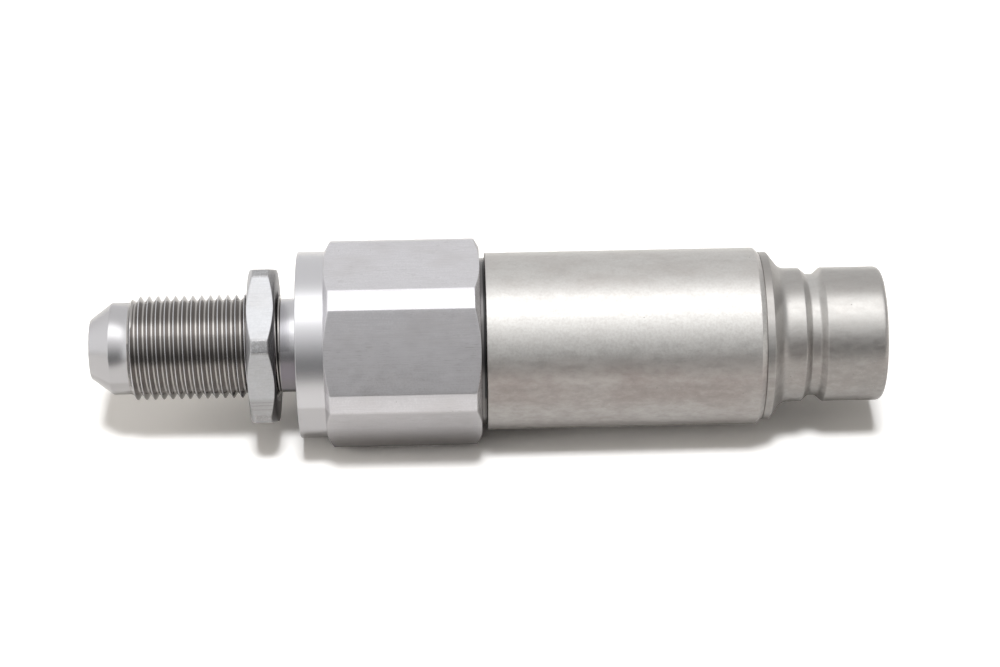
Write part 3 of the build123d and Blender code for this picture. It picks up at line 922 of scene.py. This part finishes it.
class COUPLER_OT_sleeve(bpy.types.Operator):
    """Makes the sleeve with its chamfer and its stepped bores"""

    bl_idname = "coupler.sleeve"
    bl_label = "Sleeve"

    def execute(self, context):
        scene = context.scene
        sleeve, joint, finish = scene.coupler_sleeve, scene.coupler_joint, scene.coupler_finish
        front, rear = stations("sleeve")
        outer, edge = outer_radius("sleeve"), sleeve.edge_round
        pilot, thread = joint.pilot_bore / 2, joint.thread_bore / 2
        guide, chamber = joint.guide_bore / 2, joint.chamber_bore / 2
        depth = joint.pilot_length + joint.end_gap
        reach = joint.pilot_length + joint.thread_length
        corners = [
            (front, pilot, edge),
            (front, outer - sleeve.chamfer_depth, edge),
            (front + sleeve.chamfer, outer, 2 * edge),
            (rear, outer, edge),
            (rear, pilot, edge),
            (rear - depth, pilot, edge),
            (rear - depth, thread, edge),
            (rear - reach, thread, edge),
            (rear - reach, guide, edge),
            (rear - reach - joint.guide_length, guide, edge),
            (rear - reach - joint.guide_length, chamber, edge),
            (front + reach + joint.end_chamfer, chamber, edge),
            (front + reach + joint.end_chamfer, thread, edge),
            (front + depth, thread, edge),
            (front + depth, pilot, edge),
        ]
        piece = turned_piece("sleeve_turned", corners, scene.coupler_detail)
        material = turned_steel(
            "sleeve steel", finish.sleeve_steel, finish.sleeve_rough, finish, stain_amount=0.4, film=0.8
        )
        dress(piece, "housing", "sleeve_steel", material, "sleeve")
        return {"FINISHED"}


def soft_min(first, second, width):
    """The smaller of two values, rounded where they differ by less than a width.

    It is min(a, b) - max(w - |a - b|, 0)^2 / (4 w).
    """
    near = np.maximum(width - np.abs(first - second), 0.0)
    return np.minimum(first, second) - near**2 / (4 * width)


def hex_turns(across, round_dia, turn, detail):
    """Angles of the columns of a hexagonal piece, with close columns on both sides of each edge.

    A flat ends where its apothem over the cosine of the angle from its middle reaches the corner radius.
    """
    edge = acos(across / round_dia)
    support = detail.edge_support
    flat = np.linspace(-edge + support, edge - support, detail.flat_steps + 1)
    corner = np.linspace(edge + support, HEX_STEP - edge - support, detail.corner_steps + 1)
    sector = np.concatenate((flat, [edge], corner, [HEX_STEP - edge]))
    return (turn + sector + HEX_STEP * np.arange(HEX_SIDES)[:, None]).ravel()


def hex_radius(turns, across, round_dia, turn):
    """Radius of a hexagon with round corners at each angle: apothem / cos(angle from the flat's middle)."""
    off = (turns - turn + HEX_STEP / 2) % HEX_STEP - HEX_STEP / 2
    return soft_min(across / 2 / np.cos(off), round_dia / 2, CORNER_SOFT)


def hex_rows(start, end, face_radius, surface, slope, edge):
    """Rows of a hexagon between two conical chamfers, as grids of stations and radii.

    The chamfer cone starts at the face radius and meets the hexagon of radius h at the station
    (h - face radius) * tan(slope), so that row follows the curve that cone and flats make. The rows beside
    it are sunk by small parts of the edge, which rounds it.
    """
    rise = np.maximum(surface - face_radius, 0.0)
    reach = rise * tan(slope)
    low = np.minimum(surface, face_radius)
    shares = (0.0, 0.35, 0.8, 1.0)
    insets = (0.0, 0.0, 0.0, 0.25 * edge)
    stations_in = [reach * part for part in shares] + [reach + edge, reach + 3 * edge]
    radii_in = [low + rise * part - inset for part, inset in zip(shares, insets)]
    radii_in += [surface - 0.02 * edge, surface]
    front = [start + value for value in stations_in]
    rear = [end - value for value in stations_in]
    return np.array(front + rear[::-1]), np.array(radii_in + radii_in[::-1])


def thread_strip(start, end, adapter, turns):
    """The helical thread between two stations, right-handed.

    A row keeps its place in the thread's section and moves forwards by one pitch per turn. The section's
    flanks stand 60 degrees apart and are softly cut at crest and root, and both ends run out into cones,
    of 45 degrees at the front.
    """
    pitch, crest, root = adapter.thread_pitch, adapter.thread_dia / 2, adapter.root_dia / 2
    half = np.array(SECTION_PLACES)
    phases = np.sort(np.concatenate((-half, [0.0], half, [0.5])))
    turns_needed = ceil((end - start) / pitch) + 2
    places = (np.arange(-1, turns_needed)[:, None] + phases).ravel()
    flank = crest + (adapter.crest_width / 2 - np.abs(phases) * pitch) / tan(FLANK_ANGLE)
    section = soft_min(flank, crest, CREST_SOFT)
    section = -soft_min(-section, -root, ROOT_SOFT)
    station = start + adapter.thread_lead + pitch * (places[:, None] - turns / (2 * pi))
    station = np.clip(station, start, end)
    radius = np.tile(section, turns_needed + 1)[:, None]
    front_cone = adapter.neck_dia / 2 + (station - start)
    rear_cone = adapter.flare_dia / 2 + adapter.end_slope * (end - station)
    radius = np.minimum(np.minimum(radius, front_cone), rear_cone)
    return strip(station, radius, turns, shift=len(phases))


class COUPLER_OT_adapter(bpy.types.Operator):
    """Makes the rear adapter: register, hex, collar, neck, helical thread and flare"""

    bl_idname = "coupler.adapter"
    bl_label = "Rear Adapter"

    def execute(self, context):
        scene = context.scene
        adapter, joint, finish = scene.coupler_adapter, scene.coupler_joint, scene.coupler_finish
        detail, edge = scene.coupler_detail, adapter.edge_round
        sleeve_rear, tip = stations("sleeve")[1], stations("rear_adapter")[1]
        spigot_front = stations("rear_adapter")[0]
        hex_front, hex_rear, collar_rear, neck_rear, thread_rear, flare_rear = adapter.stations()
        port, cavity = adapter.port_dia / 2, adapter.cavity_dia / 2
        flat, collar = adapter.across_flats / 2, adapter.collar_dia / 2
        turns = hex_turns(adapter.across_flats, adapter.hex_dia, UP, detail)
        surface = hex_radius(turns, adapter.across_flats, adapter.hex_dia, UP)

        front_corners = [
            (spigot_front, cavity, edge),
            *reversed(spigot_corners(sleeve_rear, -1, joint, edge)),
            (sleeve_rear, adapter.register_dia / 2, edge),
            (hex_front, adapter.register_dia / 2, edge),
            (hex_front, flat, edge),
        ]
        middle_corners = [
            (hex_rear, flat, edge),
            (hex_rear, collar, 0.5 * edge),
            (collar_rear, collar, 1.3 * edge),
            (collar_rear, adapter.neck_dia / 2, 2 * edge),
            (neck_rear, adapter.neck_dia / 2, edge),
        ]
        rear_corners = [
            (thread_rear, adapter.flare_dia / 2, edge),
            (flare_rear, adapter.flare_dia / 2, 3 * edge),
            (tip, adapter.tip_dia / 2, edge),
            (tip, port, edge),
            (hex_front + (cavity - port) / tan(adapter.cavity_slope), port, edge),
            (hex_front, cavity, edge),
            (spigot_front, cavity, edge),
        ]
        turned_corners = (front_corners, middle_corners, rear_corners)
        station, radius = hex_rows(hex_front, hex_rear, flat, surface, adapter.chamfer_angle, edge)
        strips = [turned_strip(corners, turns, detail) for corners in turned_corners]
        strips.append(strip(station, radius, turns))
        strips.append(thread_strip(neck_rear, thread_rear, adapter, turns))
        piece = make_piece("rear_adapter_milled", strips)
        material = milled_steel("adapter steel", finish.hex_steel, finish, adapter)
        dress(piece, "housing", "adapter_steel", material, "rear_adapter")
        return {"FINISHED"}


class COUPLER_OT_lock_nut(bpy.types.Operator):
    """Makes the lock nut with its chamfered corners and countersunk bore"""

    bl_idname = "coupler.lock_nut"
    bl_label = "Lock Nut"

    def execute(self, context):
        scene = context.scene
        nut, detail, finish = scene.coupler_nut, scene.coupler_detail, scene.coupler_finish
        edge = scene.coupler_adapter.edge_round
        front, rear = stations("lock_nut")
        bore, face = nut.bore_dia / 2, nut.face_dia / 2
        turn = UP - nut.turn
        turns = hex_turns(nut.across_flats, nut.corner_dia, turn, detail)
        surface = hex_radius(turns, nut.across_flats, nut.corner_dia, turn)
        bore_corners = [
            (rear, face, edge),
            (rear, bore + nut.countersink, edge),
            (rear - nut.countersink, bore, edge),
            (front + nut.countersink, bore, edge),
            (front, bore + nut.countersink, edge),
            (front, face, edge),
        ]
        station, radius = hex_rows(front, rear, face, surface, nut.chamfer_angle, edge)
        strips = [strip(station, radius, turns), turned_strip(bore_corners, turns, detail)]
        piece = make_piece("lock_nut_milled", strips)
        dress(piece, "nut", "nut_steel", milled_steel("nut steel", finish.nut_steel, finish), "lock_nut")
        return {"FINISHED"}


def coil(name, front, rear, mean_radius, wire, turns_count, closed_turns, detail):
    """A compression spring with closed ends.

    The centre line has angle a = 2 pi t for t turns, and its station rises by one wire per turn in the
    closed turns and evenly in between. The wire's circle stands on the radial line and on what is square to
    that line and the tangent, and its ends shrink to a point.
    """
    rise = rear - front - wire
    open_pitch = (rise - 2 * closed_turns * wire) / (turns_count - 2 * closed_turns)
    t = np.linspace(0.0, turns_count, round(turns_count * detail.wire_steps) + 1)
    closed = np.minimum(t, closed_turns) + np.maximum(t - turns_count + closed_turns, 0.0)
    station = front + wire / 2 + closed * wire + (t - closed) * open_pitch
    a = 2 * pi * t
    centre = np.stack((-station, mean_radius * np.cos(a), mean_radius * np.sin(a)), axis=1)
    tangent = np.gradient(centre, axis=0)
    tangent /= np.linalg.norm(tangent, axis=1)[:, None]
    radial = np.stack((np.zeros_like(a), np.cos(a), np.sin(a)), axis=1)
    across = np.cross(tangent, radial)
    section = even_turns(detail.wire_sides)[:, None]
    ring = radial[:, None] * np.cos(section) + across[:, None] * np.sin(section)
    tips = centre[[0, -1], None].repeat(detail.wire_sides, axis=1)
    points = np.concatenate((tips[:1], centre[:, None] + wire / 2 * ring, tips[1:]))
    return make_piece(name, [woven(points)])


class COUPLER_OT_springs(bpy.types.Operator):
    """Makes the poppet's spring and the bleed valve's spring"""

    bl_idname = "coupler.springs"
    bl_label = "Springs"

    def execute(self, context):
        scene = context.scene
        inner, detail, finish = scene.coupler_inner, scene.coupler_detail, scene.coupler_finish
        steel = plain_finish("spring steel", finish.spring_steel, metallic=1.0, roughness=0.35)
        springs = (
            ("poppet_spring", "housing", "poppet_slide", inner.poppet_spring_length,
             inner.poppet_spring_dia, inner.poppet_wire, inner.poppet_turns, inner.poppet_shut),
            ("relief_spring", "poppet", "bleed_slide", inner.bleed_spring_length,
             inner.bleed_spring_dia, inner.bleed_wire, inner.bleed_turns, inner.bleed_shut),
        )
        for node, body, joint, long, wide, wire, turns_count, shut in springs:
            middle = sum(stations(node)) / 2
            front, rear = middle - long / 2, middle + long / 2
            name = f"{node}_wound"
            piece = coil(name, front, rear, wide / 2, wire, turns_count, inner.closed_turns, detail)
            dress(piece, body, "spring_steel", steel, node)
            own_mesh(piece)
        return {"FINISHED"}


class COUPLER_OT_valves(bpy.types.Operator):
    """Makes the bleed plunger, and finishes the poppet's solids and the valve guide"""

    bl_idname = "coupler.valves"
    bl_label = "Valves"

    def execute(self, context):
        scene = context.scene
        inner, detail, finish = scene.coupler_inner, scene.coupler_detail, scene.coupler_finish
        edge = PLUNGER_EDGE
        pin, flange, tail = inner.pin_dia / 2, outer_radius("relief_plunger"), inner.tail_dia / 2
        end = stations("relief_plunger")[1]
        flange_end = inner.flange_station + inner.flange_length
        corners = [
            (0.0, 0.0, 0.0),
            (0.0, pin, edge),
            (inner.flange_station, pin, edge),
            (inner.flange_station, flange, edge),
            (flange_end, flange, edge),
            (flange_end, tail, edge),
            (end, tail, edge),
            (end, 0.0, 0.0),
        ]
        plunger = turned_piece("relief_plunger_turned", corners, detail, closed=False)
        steel = turned_steel(
            "valve steel", finish.nose_steel, finish.nose_rough, finish, stain_amount=0.3
        )
        dress(plunger, "bleed", "poppet_steel", steel, "relief_plunger")
        for node in ("poppet_head", "poppet_stem"):
            dress_solid(node, steel)
        guide_steel = plain_finish("guide steel", finish.spring_steel, metallic=1.0, roughness=0.4)
        dress_solid("valve_guide", guide_steel)
        return {"FINISHED"}


class COUPLER_OT_seals(bpy.types.Operator):
    """Makes the round O-rings and finishes the backup rings"""

    bl_idname = "coupler.seals"
    bl_label = "Seals"

    def execute(self, context):
        scene = context.scene
        detail, finish = scene.coupler_detail, scene.coupler_finish
        rubber = plain_finish("seal rubber", finish.rubber, metallic=0.0, roughness=0.5)
        plastic = plain_finish("backup plastic", finish.plastic, metallic=0.0, roughness=0.4)
        turns = even_turns(detail.sides)
        around = even_turns(detail.seal_sides)[:, None]
        seals = {
            "poppet_seal": "poppet",
            "relief_seal": "bleed",
            "nose_o_ring": "housing",
            "adapter_o_ring": "housing",
        }
        for node, body in seals.items():
            front, rear = stations(node)
            section = (rear - front) / 2
            mean = outer_radius(node) - section
            station = (front + rear) / 2 + section * np.cos(around)
            radius = mean + section * np.sin(around)
            piece = make_piece(f"{node}_moulded", [strip(station, radius, turns, loop=True)])
            dress(piece, body, "seal_rubber", rubber, node)
        for node in ("poppet_backup_ring", "nose_backup_ring", "adapter_backup_ring"):
            dress_solid(node, plastic)
        return {"FINISHED"}


class COUPLER_OT_stage(bpy.types.Operator):
    """Makes the pale floor, the soft light and the camera"""

    bl_idname = "coupler.stage"
    bl_label = "Stage"

    def execute(self, context):
        scene = context.scene
        stage = scene.coupler_stage
        make_floor(stage)
        make_world(scene, stage)
        make_sun(stage)
        make_camera(scene, stage)
        scene.view_settings.view_transform = "Standard"
        return {"FINISHED"}


def make_floor(stage):
    """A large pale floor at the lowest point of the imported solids, which is the hex's lower flat."""
    half, low = stage.floor_size / 2, cad_box[0][2]
    corners = [(-half, -half, low), (half, -half, low), (half, half, low), (-half, half, low)]
    mesh = bpy.data.meshes.new("floor")
    mesh.from_pydata(corners, [], [(0, 1, 2, 3)])
    floor = bpy.data.objects.new("floor", mesh)
    bpy.context.scene.collection.objects.link(floor)
    material, _, coordinates = new_material("pale floor", metallic=0.0, roughness=1.0)
    tree = material.node_tree
    side = parts_of(coordinates["Object"])[1]
    path = new_node(tree, "LightPath").outputs
    near = fade(side, -stage.floor_far_edge, -stage.floor_near_edge, stage.floor_far, 1.0)
    in_metal = product(near, stage.floor_shine * stage.floor_white)
    unseen = blended(path["Is Glossy Ray"], stage.floor_bounce, in_metal)
    shade = blended(path["Is Camera Ray"], unseen, stage.floor_seen * stage.floor_white)
    diffuse = new_node(tree, "BsdfDiffuse", {"Color": shade}).outputs[0]
    feed(tree.nodes["Material Output"].inputs["Surface"], diffuse)
    mesh.materials.append(material)


def make_world(scene, stage):
    """White to the camera, an even room to the light, and to bare metal the room of ROOM.

    The ramp's position is the height angle over the front horizon, counted from straight down.
    """
    world = bpy.data.worlds.new("studio")
    scene.world = world
    world.use_nodes = True
    world.cycles.sampling_method = "NONE"
    tree = world.node_tree
    background = tree.nodes["Background"].inputs
    path = new_node(tree, "LightPath").outputs
    along, across, up = parts_of(new_node(tree, "TexCoord").outputs["Generated"])
    height = math_node("ARCTAN2", up, product(across, -1.0))
    turned = math_node("MODULO", math_node("ADD", height, 5 * pi / 2), 2 * pi)
    ramp = new_node(tree, "ValToRGB", {0: math_node("DIVIDE", turned, 2 * pi)})
    peak = max(brightness for _, brightness in ROOM)
    stops = ramp.color_ramp.elements
    while len(stops) < len(ROOM):
        stops.new(0.5)
    for stop, (degrees_up, brightness) in zip(stops, ROOM):
        stop.position = (degrees_up + 90) / 360
        stop.color = (brightness / peak,) * 3 + (1.0,)
    in_metal = product(ramp.outputs[0], peak)
    for way, seen in ((1, stage.nose_side), (-1, stage.thread_side)):
        start, end = (way * lean for lean in SIDE_SEEN)
        in_metal = blended(fade(along, start, end), in_metal, seen)
    even = fade(up, *ROOM_RISE, stage.room_low, stage.room_high)
    for way, added in ((-1, stage.side_light), (1, stage.end_light)):
        start, end = (way * lean for lean in SIDE_LIT)
        even = math_node("ADD", even, fade(along, start, end, 0.0, added))
    mirror = math_node("MAXIMUM", path["Is Glossy Ray"], path["Is Transmission Ray"])
    unseen = blended(mirror, even, in_metal)
    clear = math_node("MAXIMUM", mirror, path["Is Camera Ray"])
    feed(background["Strength"], blended(path["Is Camera Ray"], unseen, 1.0))
    feed(background["Color"], mixed(clear, stage.room_tint, (1.0, 1.0, 1.0)))


def make_sun(stage):
    """One soft source overhead, which leans to the camera's side and leaves its reflection to the room."""
    light = bpy.data.lights.new("overhead", "SUN")
    light.energy = stage.sun_strength
    light.angle = stage.sun_size
    sun = bpy.data.objects.new("overhead", light)
    sun.rotation_euler = (stage.sun_tilt, 0.0, 0.0)
    sun.visible_glossy = False
    bpy.context.scene.collection.objects.link(sun)


def swung(first, second, turn):
    """Two directions square to each other, both turned from the first one towards the second."""
    return first * cos(turn) + second * sin(turn), second * cos(turn) - first * sin(turn)


def make_camera(scene, stage):
    """A camera on the -Y side that looks at the axis, turned by its yaw, pitch and roll."""
    elevation = stage.camera_elevation
    right, forward = Vector((1, 0, 0)), Vector((0, cos(elevation), -sin(elevation)))
    up = right.cross(forward)
    stand = Vector((-stage.camera_station, 0, 0)) - forward * stage.camera_distance
    forward, right = swung(forward, right, stage.camera_yaw)
    forward, up = swung(forward, up, stage.camera_pitch)
    up, right = swung(up, right, stage.camera_roll)
    data = bpy.data.cameras.new("camera")
    data.lens = stage.lens
    data.clip_start = 10 * MM
    data.clip_end = 20.0
    camera = bpy.data.objects.new("camera", data)
    turned = Matrix((right, up, -forward)).transposed()
    camera.matrix_world = Matrix.Translation(stand) @ turned.to_4x4()
    scene.collection.objects.link(camera)
    scene.camera = camera


OPERATORS = (
    COUPLER_OT_nose,
    COUPLER_OT_sleeve,
    COUPLER_OT_adapter,
    COUPLER_OT_lock_nut,
    COUPLER_OT_springs,
    COUPLER_OT_valves,
    COUPLER_OT_seals,
    COUPLER_OT_stage,
)


class COUPLER_PT_panel(bpy.types.Panel):
    """Lists the sizes, and the steps that build the coupler"""

    bl_label = "Flat Face Coupler"
    bl_space_type = "VIEW_3D"
    bl_region_type = "UI"
    bl_category = "Coupler"

    def draw(self, context):
        for operator in OPERATORS:
            self.layout.operator(operator.bl_idname)
        for key, group in GROUPS.items():
            box = self.layout.box()
            for setting in group.__annotations__:
                box.prop(getattr(context.scene, key), setting)


def register():
    for group in GROUPS.values():
        bpy.utils.register_class(group)
    for key, group in GROUPS.items():
        setattr(bpy.types.Scene, key, PointerProperty(type=group))
    for operator in OPERATORS:
        bpy.utils.register_class(operator)
    bpy.utils.register_class(COUPLER_PT_panel)


def unregister():
    bpy.utils.unregister_class(COUPLER_PT_panel)
    for operator in reversed(OPERATORS):
        bpy.utils.unregister_class(operator)
    for key in GROUPS:
        delattr(bpy.types.Scene, key)
    for group in GROUPS.values():
        bpy.utils.unregister_class(group)


def main():
    """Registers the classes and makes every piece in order."""
    register()
    for operator in OPERATORS:
        family, step = operator.bl_idname.split(".")
        getattr(getattr(bpy.ops, family), step)()


if __name__ == "__main__":
    main()
